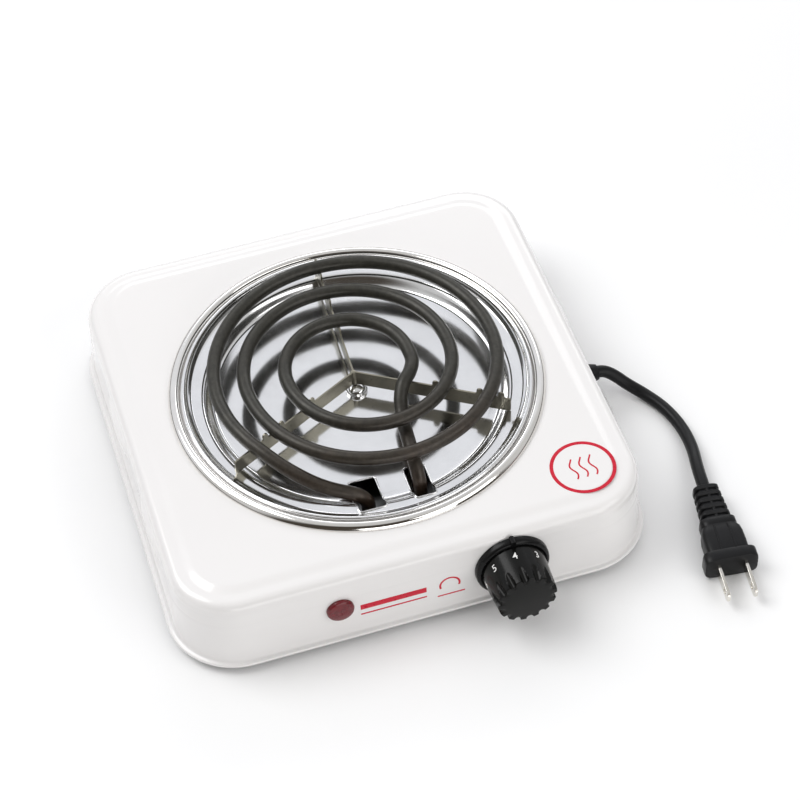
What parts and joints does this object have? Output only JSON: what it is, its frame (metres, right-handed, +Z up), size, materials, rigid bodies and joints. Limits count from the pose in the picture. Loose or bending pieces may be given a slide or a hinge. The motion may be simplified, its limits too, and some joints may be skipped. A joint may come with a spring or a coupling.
{
  "type": "hot plate burner",
  "caption": "Single-burner electric hot plate: square enamelled body on rubber feet, spiral coil over a polished drip bowl, thermostat knob, pilot light and short corded plug.",
  "frame": {"origin": "middle of the footprint of the body, knob included, on the surface that the feet stand on", "axes": "+Z up, the knob side faces -Y, the cord leaves on +X"},
  "size_m": [0.2674, 0.2641, 0.0586],
  "materials": {
    "enamel": "gloss stove enamel, warm white",
    "zinc_plate": "zinc-plated sheet, satin",
    "rubber_foot": "matt black rubber",
    "plated_screw": "zinc plate",
    "bright_ring": "polished",
    "bowl_bright": "polished",
    "coil_sheath": "dark oxide, a little heat tint",
    "support_steel": "rolled strip, satin",
    "knob_black": "gloss",
    "bezel_black": "gloss",
    "lens_red": "clear dark red",
    "lamp_glass": "clear",
    "cord_black": "satin",
    "plug_black": "satin, moulded",
    "blade_nickel": "bright nickel plate",
    "switch_steel": "plain",
    "switch_brass": "plain",
    "insulator_white": "unglazed",
    "wire_sleeve": "woven glass sleeve"
  },
  "bodies": {
    "base": {"body_shell": "enamel", "base_plate": "zinc_plate", "mounting_brackets": "zinc_plate", "terminal_bracket": "zinc_plate", "spacer_tube": "zinc_plate", "foot_front_left": "rubber_foot", "foot_front_right": "rubber_foot", "foot_rear_left": "rubber_foot", "foot_rear_right": "rubber_foot", "foot_screws": "plated_screw", "centre_stud": "plated_screw", "stud_nut": "plated_screw", "block_screws": "plated_screw", "thermostat_nut": "plated_screw", "trim_ring": "bright_ring", "drip_bowl": "bowl_bright", "dome_nut": "bowl_bright", "heating_coil": "coil_sheath", "coil_support": "support_steel", "knob_bezel": "bezel_black", "pilot_lens": "lens_red", "neon_lamp": "lamp_glass", "mains_cord": "cord_black", "plug_body": "plug_black", "strain_relief": "plug_black", "plug_blades": "blade_nickel", "thermostat_frame": "switch_steel", "bimetal_strip": "switch_steel", "pilot_clip": "switch_steel", "coil_terminal_pins": "switch_steel", "moving_leaf": "switch_brass", "fixed_leaf": "switch_brass", "contact_buttons": "switch_brass", "thermostat_rivet": "switch_brass", "crimp_terminals": "switch_brass", "thermostat_insulators": "insulator_white", "coil_insulators": "insulator_white", "terminal_block": "insulator_white", "pilot_lamp_holder": "insulator_white", "cord_cores": "wire_sleeve", "load_lead": "wire_sleeve", "live_lead": "wire_sleeve", "neutral_lead": "wire_sleeve", "pilot_leads": "wire_sleeve"},
    "knob": {"control_knob": "knob_black", "knob_spring": "switch_steel", "thermostat_spindle": "switch_steel"},
    "adjuster": {"adjuster_pin": "insulator_white"}
  },
  "joints": [
    {"name": "knob_turn", "type": "hinge", "parent": "base", "child": "knob", "pos_m": [0.0408, -0.10019, 0.0245], "axis": [0, -0.9991, 0.0419], "range_deg": [-86, 172]},
    {"name": "adjuster_slide", "type": "slide", "parent": "base", "child": "adjuster", "axis": [0, -0.9991, 0.0419], "range_m": [-0.00024, 0.00048]}
  ],
  "couplings": [
    {"joint": "adjuster_slide", "follows": "knob_turn", "m_per_rad": 0.00015915}
  ]
}
